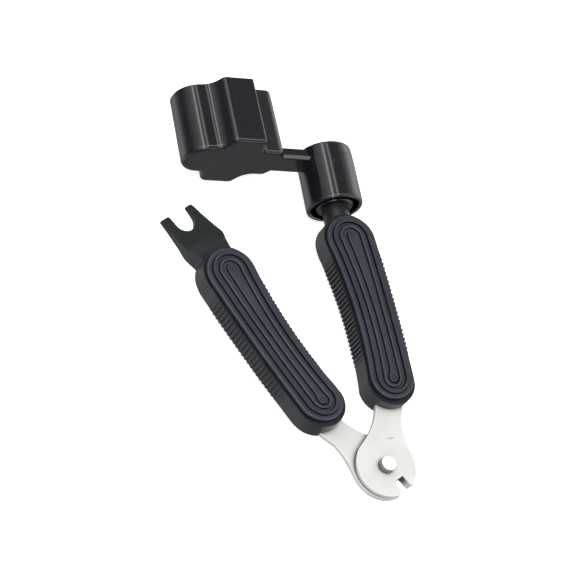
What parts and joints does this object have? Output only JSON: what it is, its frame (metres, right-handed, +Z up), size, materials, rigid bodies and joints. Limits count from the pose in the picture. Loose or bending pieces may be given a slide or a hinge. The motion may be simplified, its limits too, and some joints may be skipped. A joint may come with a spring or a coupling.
{
  "type": "string winder",
  "caption": "Plier-like guitar string winder with a crank and lobed peg socket, a forked bridge pin puller and two notched steel plates that cut strings.",
  "frame": {"origin": "centre of the underside of the bounding box, in the opened pose", "axes": "+Y from the cutter end to the crank, along the winder handle; +Z up, out of the front grip pads and along the pivot rivet; +X to the winder handle's side"},
  "size_m": [0.078, 0.146, 0.0294],
  "materials": {
    "handle_plastic": "satin moulded",
    "grip_pad": "satin moulded, raised loops",
    "gloss_black": "gloss moulded",
    "nickelled_steel": "pale nickel plated, satin",
    "rivet_steel": "bright plated"
  },
  "bodies": {
    "winder_handle": {"winder_handle_core": "handle_plastic", "winder_pad_front": "grip_pad", "winder_pad_rear": "grip_pad", "front_blade": "nickelled_steel", "pivot_rivet": "rivet_steel", "spindle_washer": "rivet_steel", "spindle_screw": "rivet_steel"},
    "crank": {"crank": "gloss_black"},
    "puller_handle": {"puller_handle_core": "handle_plastic", "puller_pad_front": "grip_pad", "puller_pad_rear": "grip_pad", "rear_blade": "nickelled_steel"}
  },
  "joints": [
    {"name": "crank_spin", "type": "hinge", "parent": "winder_handle", "child": "crank", "pos_m": [0.02594, 0.043, 0.01184], "axis": [0, 1, 0], "continuous": true},
    {"name": "puller_pivot", "type": "hinge", "parent": "winder_handle", "child": "puller_handle", "pos_m": [0.02332, -0.06215, 0.011], "axis": [0, 0, 1], "range_deg": [-20, 40]}
  ]
}
